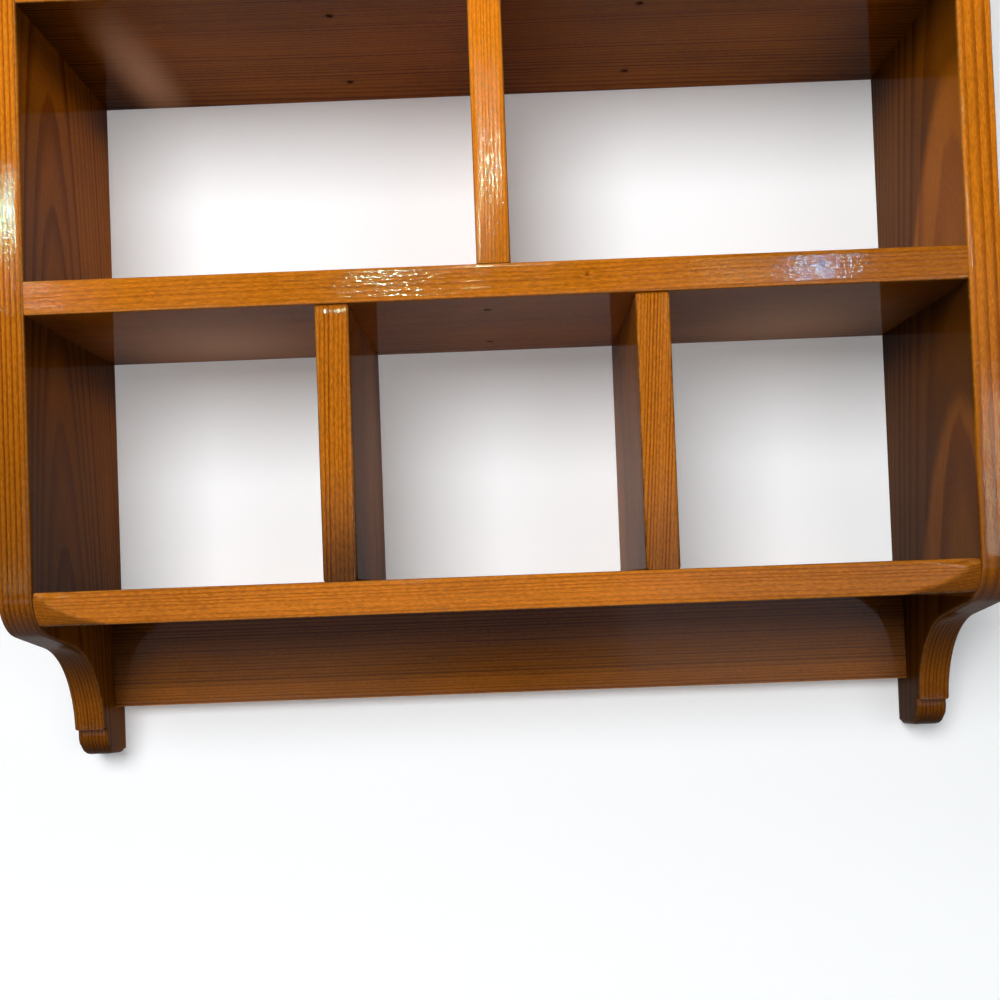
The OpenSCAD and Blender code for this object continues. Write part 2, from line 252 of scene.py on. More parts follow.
def board(node, material, ring, place, faces, holes=(), rows=1, shape=None, seed=0):
    """Makes the board that stands for a CAD node.

    ring is its outline as (u, v, arris radius), place turns (u, v, w) into the case's frame,
    faces are its two levels of w. A hole is (u, v, rings), where rings are (radius, w) from the
    face that it starts in to its floor, or to the other face where it runs through."""
    points = sampled(ring, WORKED_STEP if shape else OUTLINE_STEP)
    inward = mitres(points)
    bm = bmesh.new()
    arris = bm.verts.layers.float.new("arris")
    worked = bm.verts.layers.float.new("worked")
    rim = []
    profile = rim_profile(rows)
    for share, extra, down, drop, wear_highlight, across in profile:
        row = []
        for (u, v, r), normal in zip(points, inward):
            first = faces[0] if across < 0.5 else faces[1]
            spot = Vector(place(u, v, first))
            r *= 1 + wear(spot, seed)
            inset = share * r + extra
            if 0 < across < 1:
                span = abs(faces[1] - faces[0]) - 2 * RIM_MARGIN
                w = faces[0] + (RIM_MARGIN + span * across) * sign(faces)
            else:
                w = first + (r * down + drop) * sign(faces) * (1 if across == 0 else -1)
            vert = bm.verts.new(place(u + normal.x * inset, v + normal.y * inset, w))
            vert[arris] = wear_highlight if r > SAWN_EASE * 2 else 0
            row.append(vert)
        rim.append(row)
    for row, below in zip(rim, rim[1:]):
        for i in range(len(row)):
            j = (i + 1) % len(row)
            bm.faces.new((row[i], row[j], below[j], below[i]))
    rims = {faces[0]: [rim[0]], faces[1]: [rim[-1]]}
    for u, v, steps in holes:
        bore(bm, place, u, v, steps, rims)
    for rows_here in rims.values():
        fill(bm, rows_here, place)
    if shape:
        for vert in bm.verts:
            vert.co, vert[worked], crease = shape(vert.co)
            # The crease and bevel of a worked corner take the arris's painted highlight.
            vert[arris] = max(vert[arris], crease)
    bmesh.ops.recalc_face_normals(bm, faces=bm.faces)
    return finished(node + "_board", bm, node, material)


def fill(bm, rings, place):
    """Fills a flat face between its rim and its holes with triangles, but not the holes. Where
    the rim crosses itself in a tight corner, the face folds over there, and the sweep fill is
    used, which adds no points."""
    verts = [vert for ring in rings for vert in ring]
    across = place(0, 0, 1).index(1)
    points = [[c for axis, c in enumerate(vert.co) if axis != across] for vert in verts]
    pairs = []
    start = 0
    for ring in rings:
        pairs += [(start + i, start + (i + 1) % len(ring)) for i in range(len(ring))]
        start += len(ring)
    filled = geometry.delaunay_2d_cdt(points, pairs, [], FILL_INSIDE, FILL_TOLERANCE)
    triangles, sources = filled[2:4]
    if all(sources):
        owners = [k for k, ring in enumerate(rings) for vert in ring]
        for triangle in triangles:
            corners = [sources[i][0] for i in triangle]
            within = {owners[i] for i in corners}
            if len(within) > 1 or 0 in within:
                bm.faces.new([verts[i] for i in corners])
        return
    edges = []
    for i, j in pairs:
        ends = (verts[i], verts[j])
        edges.append(bm.edges.get(ends) or bm.edges.new(ends))
    bmesh.ops.triangle_fill(bm, use_beauty=True, edges=edges)


def sign(faces):
    """1 where the second face is at the higher level, or else -1."""
    return 1 if faces[1] > faces[0] else -1


def bore(bm, place, u, v, steps, rims):
    """Adds the walls of a hole, and its edge to the rims of the faces that it opens in."""
    before = None
    for radius, w in steps:
        row = []
        for i in range(HOLE_STEPS):
            angle = 2 * math.pi * i / HOLE_STEPS
            row.append(bm.verts.new(place(u + radius * math.cos(angle), v + radius * math.sin(angle), w)))
        if before:
            for i in range(HOLE_STEPS):
                bm.faces.new((before[i - 1], before[i], row[i], row[i - 1]))
        if w in rims:
            rims[w].append(row)
        before = row
    if steps[-1][1] not in rims:
        bm.faces.new(before)


def finished(name, bm, node, material):
    """Turns a bmesh into a smooth-shaded piece that rides on the root and stands for a node."""
    mesh = bpy.data.meshes.new(name)
    bm.to_mesh(mesh)
    bm.free()
    mesh.shade_smooth()
    mesh.set_sharp_from_angle(angle=math.radians(38))
    piece = bpy.data.objects.new(name, mesh)
    bpy.context.scene.collection.objects.link(piece)
    piece.data.materials.append(material)
    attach(piece, "root")
    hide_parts(node)
    return piece


def yz(u, v, w):
    """A side or divider: the outline in side view, the thickness across the case."""
    return (w, u, v)


def xy(u, v, w):
    """A shelf: u from the front to the back, v across the case, the thickness upwards."""
    return (v, u, w)


def xz(u, v, w):
    """A rail: the outline seen from the front, the thickness towards the wall."""
    return (v, w, u)


def head_hole(u, v, face, inner):
    """The hole of a nail head in a face, whose floor lies towards inner."""
    floor = face + math.copysign(HEAD_HOLE_DEPTH, inner - face)
    return (u, v, [(HEAD_HOLE_R, face), (HEAD_HOLE_R, floor)])


def nail_ys():
    return (cad_lo.y + NAIL_INSET, -NAIL_INSET)


def side_board(node, material, seed):
    lo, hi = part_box(node)
    outer, inner = (lo.x, hi.x) if lo.x < 0 else (hi.x, lo.x)
    holes = []
    for shelf in SHELVES:
        s_lo, s_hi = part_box(shelf)
        holes += [head_hole(y, (s_lo.z + s_hi.z) / 2, outer, inner) for y in nail_ys()]
    for rail in ("bottom_rail", "top_rail"):
        r_lo, r_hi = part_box(rail)
        y = (r_lo.y + r_hi.y) / 2
        holes += [head_hole(y, z, outer, inner)
                  for z in (r_lo.z + RAIL_NAIL_INSET, r_hi.z - RAIL_NAIL_INSET)]
    board(node, material, side_outline(lo, hi), yz, (outer, inner), holes, seed=seed)


def worked_corners(lo, hi):
    """The move of an outer shelf's front corners to the nose curve of the sides, with how far a
    point lies in the worked corner and how near its crease, which paints a highlight along the
    crease and along the bevel of the front edge."""
    downwards = lo.z < -0.3
    nose_z = hi.z - 0.001 if downwards else lo.z + 0.001
    half = (hi.x - lo.x) / 2

    def shape(co):
        past_nose = max(0, nose_z - co.z if downwards else co.z - nose_z)
        cut = NOSE_R - math.sqrt(NOSE_R ** 2 - past_nose ** 2)
        from_end = half - abs(co.x)
        cut += CORNER_EXTRA * min(1, past_nose / 0.003) - CORNER_SLOPE * from_end
        near = max(0, 1 - (co.y - lo.y) / CORNER_DEPTH)
        bevel = max(0, TOP_BEVEL * (1 - from_end / TOP_BEVEL_REACH) - past_nose - 0.001)
        crease = math.exp(-((cut - 0.0001) / 0.0003) ** 2) + min(1, bevel / 0.0015)
        depth = max(0, cut) + 0.7 * bevel
        return Vector((co.x, co.y + depth * near, co.z)), float(cut > 0) * near, crease * near

    return shape


def shelf_board(node, material, seed, feet=(), heads=(), worked=False):
    """feet and heads are the x of the dividers nailed from below and from above."""
    lo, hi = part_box(node)
    ring = plain_outline(lo.y, hi.y, lo.x, hi.x, SHELF_EASE, SAWN_EASE)
    holes = [head_hole(y, x, lo.z, hi.z) for x in feet for y in nail_ys()]
    holes += [head_hole(y, x, hi.z, lo.z) for x in heads for y in nail_ys()]
    board(node, material, ring, xy, (lo.z, hi.z), holes,
          rows=14 if worked else 3, shape=worked_corners(lo, hi) if worked else None, seed=seed)


def divider_board(node, material, seed):
    lo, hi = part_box(node)
    board(node, material, divider_outline(lo, hi), yz, (lo.x, hi.x), rows=3, seed=seed)


def rail_board(node, material, seed, hung=False):
    lo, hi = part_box(node)
    ring = [(lo.z, lo.x, RAIL_EASE), (lo.z, hi.x, RAIL_EASE),
            (hi.z, hi.x, RAIL_EASE), (hi.z, lo.x, RAIL_EASE)]
    holes = []
    if hung:
        sink = lo.y + COUNTERSINK_R - HANGING_R
        steps = [(COUNTERSINK_R, lo.y), (HANGING_R, sink), (HANGING_R, hi.y)]
        holes = [(0, x, steps) for x in (-HANGING_X, HANGING_X)]
    board(node, material, ring, xz, (lo.y, hi.y), holes, seed=seed)


# Materials

class Tree:
    """A material's node tree, built by plain arithmetic on sockets."""

    def __init__(self, name):
        self.material = bpy.data.materials.new(name)
        self.material.use_nodes = True
        self.nodes = self.material.node_tree.nodes
        self.links = self.material.node_tree.links
        self.nodes.clear()

    def put(self, kind, inputs=None, output=0, **settings):
        node = self.nodes.new(kind)
        for key, value in settings.items():
            setattr(node, key, value)
        for key, value in (inputs or {}).items():
            if isinstance(value, bpy.types.NodeSocket):
                self.links.new(value, node.inputs[key])
            else:
                node.inputs[key].default_value = value
        return node.outputs[output]

    def math(self, operation, *values):
        return self.put("ShaderNodeMath", dict(enumerate(values)), operation=operation)

    def add(self, a, b):
        return self.math("ADD", a, b)

    def mul(self, a, b):
        return self.math("MULTIPLY", a, b)

    def vector(self, operation, *values):
        return self.put("ShaderNodeVectorMath", dict(enumerate(values)), operation=operation)

    def ramp(self, value, start, end, low=0.0, high=1.0):
        """A smooth step from low at start to high at end."""
        inputs = {"Value": value, "From Min": start, "From Max": end, "To Min": low, "To Max": high}
        return self.put("ShaderNodeMapRange", inputs, interpolation_type="SMOOTHSTEP")

    def spread(self, position, stretch, shift, detail=2.0, roughness=0.5):
        """Noise about zero, from -0.5 to 0.5, whose blobs have the size stretch in each axis."""
        scaled = self.vector("DIVIDE", position, stretch)
        moved = self.vector("ADD", scaled, (shift, shift * 1.7, shift * 2.3))
        inputs = {"Vector": moved, "Scale": 1.0, "Detail": detail, "Roughness": roughness}
        return self.add(self.put("ShaderNodeTexNoise", inputs), -0.5)

    def millimetres(self):
        """The coordinates node, and the place in the case's frame in millimetres."""
        coordinates = self.nodes.new("ShaderNodeTexCoord")
        position = self.vector("SCALE", coordinates.outputs["Object"])
        position.node.inputs["Scale"].default_value = 1000
        return coordinates, position

    def distance(self, position, spot):
        return self.vector("DISTANCE", position, spot).node.outputs["Value"]

    def away(self, position, spot, size):
        """How far a position lies from a spot, where the size in each axis counts as one."""
        offset = self.vector("DIVIDE", self.vector("SUBTRACT", position, spot), size)
        return self.vector("LENGTH", offset).node.outputs["Value"]

    def mix(self, factor, a, b, blend="MIX"):
        inputs = {0: factor, 6: a, 7: b}
        return self.put("ShaderNodeMix", inputs, output=2, data_type="RGBA", blend_type=blend)

    def output(self, shader):
        end = self.nodes.new("ShaderNodeOutputMaterial")
        self.links.new(shader, end.inputs["Surface"])
        return self.material


# Earlywood, the latewoods, the colours of painted reflections, grey, pale and dark, and a worn arris with
# its painted highlight
EARLY = (0.56, 0.168, 0.008)
LATE = (0.24, 0.052, 0.003)
SOFT_LATE = (0.35, 0.09, 0.005)
SIDE_LATE = (0.29, 0.07, 0.004)
RAIL_LATE = (0.22, 0.052, 0.004)
GREY_REFLECTION = (0.42, 0.25, 0.17)
PALE_REFLECTION = (0.72, 0.42, 0.24)
DARK_REFLECTION = (0.26, 0.13, 0.1)
WORN_HIGHLIGHT = (0.66, 0.31, 0.08)


def long_axis(grain, across, along):
    """A size in each axis: along in the direction of the grain, across in the other two."""
    return tuple(along if axis == grain else across for axis in "XYZ")


def wood(name, grain, pith, lean, spacing, seed, face, late=LATE, tone=1.0, sway=1.6,
         broad_face_shade=0.6, slowing=None, phase=0.0, shelf_shadow=None, knots=(), shade_and_stains=(), corners=(),
         shade_bands=(), painted_reflections=(), coat=0.2, grit=0.075, edge=None, edge_late=None):
    """Varnished softwood, cut from a log.

    grain is the axis the log ran along. pith is where its centre crosses the plane of the
    hanging holes, in millimetres along the other two axes, and lean how far the centre moves
    for each millimetre of the grain. spacing is the width of a year's ring, which with slowing
    as (radius, power) holds at that radius and shrinks outwards. heart, as (radius, change along
    the grain, change below each shelf, strength), is painted shadow of the shelves: outside it
    the broad faces are darker, and its edge starts again below every shelf. face is the axis
    across the board's broad faces, which broad_face_shade paints darker than the edges, as painted
    shade. Knots are (centre, radius, strength), and so are smudges, painted shade round a spot,
    which at the nail heads is stain. corners are painted shade where parts meet, as (axis,
    level, reach, strength). The painted shade of bands grows from start to end, as (axis, start,
    end, strength), and blooms are patches of painted reflection, as (centre, size in each axis,
    strength, colour). late is the colour of the latewood, and edge_late the one on the narrow
    faces where it differs. coat is how much the varnish shines and grit how uneven it lies. edge
    is how far apart the rings lie on a side's front and on its leg, and the level that they
    spread from."""
    tree = Tree(name)
    coordinates, position = tree.millimetres()
    split = tree.nodes.new("ShaderNodeSeparateXYZ")
    tree.links.new(position, split.inputs[0])
    normal = tree.nodes.new("ShaderNodeSeparateXYZ")
    tree.links.new(coordinates.outputs["Normal"], normal.inputs[0])
    facing = tree.math("ABSOLUTE", normal.outputs[face])
    broad = tree.ramp(facing, 0.6, 0.95)
    along = split.outputs[grain]
    across = [split.outputs[axis] for axis in "XYZ" if axis != grain]

    centre = []
    for value, start, slope in zip(across, pith, lean):
        centre.append(tree.math("SUBTRACT", value, tree.math("MULTIPLY_ADD", along, slope, start)))
    square = tree.math("MULTIPLY_ADD", centre[0], centre[0], tree.mul(centre[1], centre[1]))
    radius = tree.math("SQRT", square)
    bend = tree.mul(tree.spread(position, long_axis(grain, 70, 300), seed, 1.0), 2 * sway)
    wander = tree.mul(tree.spread(position, long_axis(grain, 12, 110), seed + 3, 2.0), 0.9)
    fuzz = tree.mul(tree.spread(position, long_axis(grain, 1.3, 16), seed + 5, 2.0), 0.45)
    stray = tree.add(bend, tree.add(wander, fuzz))
    radius = tree.add(radius, stray)
    core = None
    for spot, size, strength in knots:
        gap = tree.distance(position, spot)
        swell = tree.ramp(gap, size, 0)
        radius = tree.add(radius, tree.mul(swell, strength))
        dark = tree.ramp(gap, size * 0.35, size * 0.1)
        core = dark if core is None else tree.math("MAXIMUM", core, dark)

    if slowing:
        size, power = slowing
        ring = tree.math("POWER", tree.math("DIVIDE", radius, size), power)
        ring = tree.mul(ring, size / (spacing * power))
    else:
        ring = tree.math("DIVIDE", radius, spacing)
    if edge:
        front, leg, pivot = edge
        sideways = tree.math("MULTIPLY_ADD", stray, 0.4, tree.add(split.outputs["X"], -pivot))
        edge_ring = tree.mul(sideways, tree.ramp(split.outputs["Y"], -125, -50, 1 / front, 1 / leg))
        on_face = tree.math("GREATER_THAN", facing, 0.75)
        ring = tree.math("MULTIPLY_ADD", tree.math("SUBTRACT", ring, edge_ring), on_face, edge_ring)
    drift = tree.put("ShaderNodeTexNoise", {"W": ring, "Scale": 0.31, "Detail": 1.0},
                     noise_dimensions="1D")
    ring = tree.math("MULTIPLY_ADD", drift, 1.1, tree.add(ring, phase))
    part = tree.math("FRACT", ring)
    number = tree.math("FLOOR", ring)
    chance = tree.put("ShaderNodeTexWhiteNoise", {"W": tree.add(number, seed)}, noise_dimensions="1D")
    rise = tree.ramp(part, 0.36, 0.86)
    fall = tree.ramp(part, 1.0, 0.93)
    latewood = tree.mul(tree.mul(rise, fall), tree.math("MULTIPLY_ADD", chance, 0.6, 0.4))

    fibre = tree.spread(position, long_axis(grain, 0.35, 14), seed + 7, 3.0, 0.6)
    flecks = tree.spread(position, long_axis(grain, 0.7, 2.8), seed + 8, 1.0, 0.6)
    cloud = tree.spread(position, long_axis(grain, 45, 140), seed + 9, 3.0)
    ends = tree.ramp(tree.math("ABSOLUTE", normal.outputs[grain]), 0.15, 0.9)

    dark = tree.mix(broad, (*(edge_late or late), 1), (*late, 1))
    colour = tree.mix(latewood, (*EARLY, 1), dark)
    value = tree.add(tree.mul(fibre, 0.6), tree.mul(cloud, 0.5))
    flecks = tree.mul(flecks, tree.math("MULTIPLY_ADD", broad, -0.5, 0.95))
    value = tree.add(flecks, value)
    # The broad faces are painted darker than the edges, as painted shade.
    value = tree.math("MULTIPLY_ADD", broad, broad_face_shade - 1, tree.add(value, tone))
    # Darker end grain, to which the painted shade round the spots is added below.
    shade = tree.math("MULTIPLY_ADD", ends, -0.55, 1.0)
    if core is not None:
        value = tree.mul(value, tree.math("MULTIPLY_ADD", core, -0.45, 1.0))
    # Painted shadow of each shelf on the broad faces below it, starting again under every shelf.
    if shelf_shadow:
        start, slope, drop, strength = shelf_shadow
        below = tree.math("SUBTRACT", SHELF_LEVEL, along)
        below = tree.math("FLOORED_MODULO", below, SHELF_PITCH)
        border = tree.math("MULTIPLY_ADD", below, drop, start)
        border = tree.math("MULTIPLY_ADD", along, slope, border)
        outside = tree.mul(tree.ramp(tree.math("SUBTRACT", radius, border), -1.5, 2.5), broad)
        value = tree.mul(value, tree.math("MULTIPLY_ADD", outside, -strength, 1.0))
    # Painted shade round each spot, and stain round the nail heads.
    for spot, size, strength in shade_and_stains:
        gap = tree.distance(position, spot)
        shade = tree.mul(shade, tree.ramp(gap, size, 0, 1, 1 - strength))
    # Painted shade on the broad faces where parts meet.
    for axis, level, reach, strength in corners:
        gap = tree.math("ABSOLUTE", tree.add(split.outputs[axis], -level))
        near = tree.mul(tree.ramp(gap, reach, 0), broad)
        value = tree.mul(value, tree.math("MULTIPLY_ADD", near, -strength, 1.0))
    # Painted shade that grows from start to end.
    for axis, start, end, strength in shade_bands:
        value = tree.mul(value, tree.ramp(split.outputs[axis], start, end, 1.0, 1 - strength))
    # The worked corners are darker: painted shade where their faces turn downwards, and the stain of
    # fresh-cut grain.
    worked = tree.put("ShaderNodeAttribute", {}, output=2, attribute_name="worked")
    value = tree.mul(value, tree.math("MULTIPLY_ADD", worked, -0.35, 1.0))
    value = tree.mul(value, shade)
    # The arris colour is wear and a painted highlight along the rounded edge.
    wear_and_highlight = tree.put("ShaderNodeAttribute", {}, output=2, attribute_name="arris")
    patchy = tree.ramp(tree.spread(position, (3, 3, 3), seed + 11, 3.0), -0.15, 0.3, 0.15, 1.0)
    wear_and_highlight = tree.mul(tree.math("MINIMUM", tree.mul(wear_and_highlight, patchy), 1.0), 0.5)
    tint = tree.put("ShaderNodeCombineColor", {0: value, 1: value, 2: value})
    colour = tree.mix(1.0, colour, tint, "MULTIPLY")
    shade = tree.put("ShaderNodeCombineColor", {0: shade, 1: shade, 2: shade})
    colour = tree.mix(wear_and_highlight, colour, tree.mix(1.0, shade, (*WORN_HIGHLIGHT, 1), "MULTIPLY"))
    # Patches of painted reflection, in grey, pale and dark colours.
    for spot, size, strength, reflection_colour in painted_reflections:
        reflected = tree.ramp(tree.away(position, spot, size), 1, 0, 0, strength)
        colour = tree.mix(reflected, colour, (*reflection_colour, 1))

    relief = tree.mul(latewood, 0.03)
    grains = tree.spread(position, long_axis(grain, 1.3, 2.3), seed + 13, 1.0)
    waves = tree.spread(position, long_axis(grain, 7, 22), seed + 15, 1.0)
    relief = tree.math("MULTIPLY_ADD", grains, grit, relief)
    relief = tree.mul(relief, tree.math("MULTIPLY_ADD", broad, -0.8, 1.0))
    relief = tree.math("MULTIPLY_ADD", waves, 0.045, relief)
    bump = tree.put("ShaderNodeBump", {"Height": relief, "Distance": 0.001, "Strength": 1.0})
    roughness = tree.math("MULTIPLY_ADD", wear_and_highlight, 0.3, tree.math("MULTIPLY_ADD", fibre, 0.2, 0.5))
    shader = tree.put("ShaderNodeBsdfPrincipled", {
        "Base Color": colour, "Roughness": roughness, "Specular IOR Level": 0.0,
        "Coat Weight": coat, "Coat Roughness": 0.05, "Coat IOR": 1.25,
        "Normal": bump, "Coat Normal": bump,
    })
    return tree.output(shader)


def nail_material():
    tree = Tree("nail_steel")
    position = tree.millimetres()[1]
    rust = tree.ramp(tree.spread(position, (0.8, 0.8, 0.8), 2.0, 3.0), -0.1, 0.15)
    colour = tree.mix(rust, (0.12, 0.1, 0.085, 1), (0.05, 0.024, 0.012, 1))
    roughness = tree.math("MULTIPLY_ADD", rust, 0.35, 0.4)
    pits = tree.put("ShaderNodeBump", {"Height": rust, "Distance": 0.0001, "Strength": 0.6})
    shader = tree.put("ShaderNodeBsdfPrincipled", {
        "Base Color": colour, "Roughness": roughness, "Metallic": 0.8, "Normal": pits,
    })
    return tree.output(shader)


# Painted shade on a side's broad faces just below each shelf.
def side_shade(strength):
    return [("Z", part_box(shelf)[0].z * 1000 - 6, 34, strength) for shelf in SHELVES[1:]]


def middle_x(node):
    lo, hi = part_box(node)
    return (lo.x + hi.x) / 2


def nail_marks(xs, z):
    """The dark stain round the nail heads under a shelf."""
    return [((x, y * 1000, z), 4.5, 0.75) for x in xs for y in nail_ys()]


# Painted shade on a shelf's faces at its ends, where it meets the sides.
END_SHADE = [("X", -254, 60, 0.7), ("X", 254, 75, 0.6)]

# The sides: painted shade towards the bottom and at the back of the feet, and a painted reflection on
# each nose; the right side also has painted shadow below each shelf and painted shade towards the back.
side_board("left_side", wood(
    "left_side_wood", "Z", (-152.7, -103), (0.0526, -0.023), 3.5, 11.0, "X", SIDE_LATE, tone=1.1,
    sway=0.9, broad_face_shade=0.64, edge=(2.7, 2.1, -254), edge_late=LATE,
    shade_and_stains=[((-264, -140, -640), 390, 0.74), ((-264, -33, -640), 40, 0.5)],
    corners=side_shade(0.65), painted_reflections=[((-264, -134, -566), (24, 24, 24), 0.4, DARK_REFLECTION)]), 3)
side_board("right_side", wood(
    "right_side_wood", "Z", (108.2, -137), (-0.0579, -0.0401), 7.2, 27.0, "X", SIDE_LATE,
    tone=1.1, sway=0.8, broad_face_shade=0.76, slowing=(130, 3), phase=0.54,
    shelf_shadow=(138.9, 0.069, 0.18, 0.6), edge=(5.5, 2.3, 254), edge_late=LATE,
    shade_and_stains=[((264, -140, -640), 360, 0.72), ((264, -33, -640), 40, 0.5)],
    corners=side_shade(0.55), shade_bands=[("Y", -70, -10, 0.25)],
    painted_reflections=[((264, -134, -566), (24, 24, 24), 0.4, DARK_REFLECTION)]), 7)

lower_xs = [middle_x("lower_left_divider"), middle_x("lower_right_divider")]
upper_xs = [middle_x("upper_left_divider"), middle_x("upper_right_divider")]
# The shelves: painted shade towards their ends, more at the right, stain round the nail heads, and
# painted reflection on the undersides of the middle shelves.
shelf_board("bottom_shelf", wood(
    "bottom_shelf_wood", "X", (-10, -690), (0.004, 0.006), 1.8, 41.0, "Z", SOFT_LATE, tone=0.97,
    shade_and_stains=[((254, -140, -545), 240, 0.32), ((-254, -140, -545), 130, 0.15)],
    corners=END_SHADE), 13, feet=lower_xs, worked=True)
shelf_board("lower_middle_shelf", wood(
    "lower_middle_shelf_wood", "X", (20, -520), (0.0, 0.01), 1.7, 57.0, "Z", SOFT_LATE,
    tone=0.92, broad_face_shade=0.74, knots=[((50, -140, -375), 5, 0.8), ((176, -140, -374), 8, -1.2)],
    shade_and_stains=[((254, -140, -376), 200, 0.3)] + nail_marks([-4.5], -385.5),
    corners=[("X", -254, 45, 0.45), ("X", 254, 45, 0.45)],
    painted_reflections=[((-165, -40, -385), (100, 110, 60), 0.85, PALE_REFLECTION),
            ((180, -40, -385), (90, 110, 60), 0.7, PALE_REFLECTION)],
    coat=0.34, grit=0.065), 17, feet=[MIDDLE_FOOT_NAIL_X], heads=lower_xs)
shelf_board("upper_middle_shelf", wood(
    "upper_middle_shelf_wood", "X", (30, -60), (0.0, 0.008), 1.7, 73.0, "Z", tone=0.96,
    shade_and_stains=nail_marks([-87.75, 87.75], -215), corners=END_SHADE,
    painted_reflections=[((-214, -50, -215), (24, 110, 20), 0.75, PALE_REFLECTION)],
    coat=0.26), 19, feet=upper_xs, heads=[0])
shelf_board("top_shelf", wood(
    "top_shelf_wood", "X", (-40, 90), (0.0, -0.012), 2.0, 91.0, "Z", SOFT_LATE,
    corners=END_SHADE), 23, heads=upper_xs, worked=True)

# The lower dividers and the middle one are painted darker towards their feet, as painted shade; the lower
# left one has a painted reflection.
divider_board("lower_left_divider", wood(
    "lower_left_divider_wood", "Z", (-10, -40), (0.0, 0.02), 1.6, 103.0, "X", tone=0.84,
    shade_and_stains=[((-88, -140, -540), 80, 0.8)],
    painted_reflections=[((-78, -60, -455), (20, 90, 120), 0.28, PALE_REFLECTION)]), 29)
divider_board("lower_right_divider", wood(
    "lower_right_divider_wood", "Z", (60, -150), (0.06, 0.02), 1.6, 119.0, "X", tone=0.9,
    shade_and_stains=[((85, -140, -540), 75, 0.5)]), 31)
divider_board("middle_divider", wood(
    "middle_divider_wood", "Z", (90, -60), (0.02, 0.0), 1.5, 131.0, "X", SOFT_LATE,
    tone=1.38, broad_face_shade=0.5, shade_and_stains=[((0, -140, -370), 60, 0.3)]), 37)
divider_board("upper_left_divider", wood(
    "upper_left_divider_wood", "Z", (-190, -80), (0.03, 0.0), 2.5, 149.0, "X"), 41)
divider_board("upper_right_divider", wood(
    "upper_right_divider_wood", "Z", (170, -50), (-0.02, 0.0), 2.4, 163.0, "X"), 43)

# The bottom rail: painted shadow of the bottom shelf over all but its lowest strip, painted shade at its
# ends, and patches of painted reflection.
rail_board("bottom_rail", wood(
    "bottom_rail_wood", "X", (40, -380), (0.0, 0.0), 2.1, 181.0, "Y", RAIL_LATE, tone=0.9,
    sway=0.5, corners=[("X", -254, 40, 0.5), ("X", 254, 30, 0.3)],
    shade_bands=[("Z", -600, -596, 0.22)],
    painted_reflections=[((-140, -18, -590), (180, 60, 60), 0.15, GREY_REFLECTION),
            ((150, -18, -590), (180, 60, 60), 0.2, GREY_REFLECTION)],
    coat=0.16), 47)
rail_board("top_rail", wood(
    "top_rail_wood", "X", (60, 190), (0.0, 0.01), 1.7, 197.0, "Y", SOFT_LATE, tone=0.72), 53,
    hung=True)

steel = nail_material()
for node_name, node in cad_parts.items():
    if node_name.endswith("_nails"):
        node.data.materials.clear()
        node.data.materials.append(steel)
        for polygon in node.data.polygons:
            polygon.use_smooth = False


# Stage

def backdrop_material(name, colour, glow, one_sided=False):
    """A pale surface that shows white to the camera and in reflections, and keeps shadows.
    glow is its strength above and below the case's foot. The wall is only seen from its front,
    and lets light reach the backs of the boards."""
    tree = Tree(name)
    path = tree.nodes.new("ShaderNodeLightPath")
    seen = tree.math("MAXIMUM", path.outputs["Is Camera Ray"], path.outputs["Is Glossy Ray"])
    seen = tree.math("MAXIMUM", seen, path.outputs["Is Transmission Ray"])
    place = tree.nodes.new("ShaderNodeTexCoord")
    split = tree.nodes.new("ShaderNodeSeparateXYZ")
    tree.links.new(place.outputs["Object"], split.inputs[0])
    strength = tree.mul(seen, tree.ramp(split.outputs["Z"], -0.62, -0.85, *glow))
    diffuse = tree.put("ShaderNodeBsdfDiffuse", {"Color": (*colour, 1)})
    emission = tree.put("ShaderNodeEmission", {"Color": (1, 1, 1, 1), "Strength": strength})
    shader = tree.put("ShaderNodeAddShader", {0: diffuse, 1: emission})
    if one_sided:
        surface = tree.nodes.new("ShaderNodeNewGeometry")
        contact = tree.math("LESS_THAN", path.outputs["Ray Length"], 0.0025)
        open_here = tree.math("MAXIMUM", surface.outputs["Backfacing"], contact)
        clear = tree.put("ShaderNodeBsdfTransparent")
        shader = tree.put("ShaderNodeMixShader", {0: open_here, 1: shader, 2: clear})
    material = tree.output(shader)
    material.cycles.emission_sampling = "NONE"
    return material


def sheet(name, corners, material):
    mesh = bpy.data.meshes.new(name)
    mesh.from_pydata(corners, [], [(0, 1, 2, 3)])
    obj = bpy.data.objects.new(name, mesh)
    obj.data.materials.append(material)
    bpy.context.scene.collection.objects.link(obj)


WALL_Y = 0.0005
FLOOR_Z = -1.0
REACH = 5.0
sheet("wall", [(-REACH, WALL_Y, FLOOR_Z), (REACH, WALL_Y, FLOOR_Z),
               (REACH, WALL_Y, REACH), (-REACH, WALL_Y, REACH)],
      backdrop_material("wall_paint", (0.857, 0.882, 0.9), (0.2, 0.3), one_sided=True))
sheet("floor", [(-REACH, -REACH, FLOOR_Z), (REACH, -REACH, FLOOR_Z),
                (REACH, REACH, FLOOR_Z), (-REACH, REACH, FLOOR_Z)],
      backdrop_material("floor_paint", (0.25, 0.25, 0.25), (0.78, 0.78)))

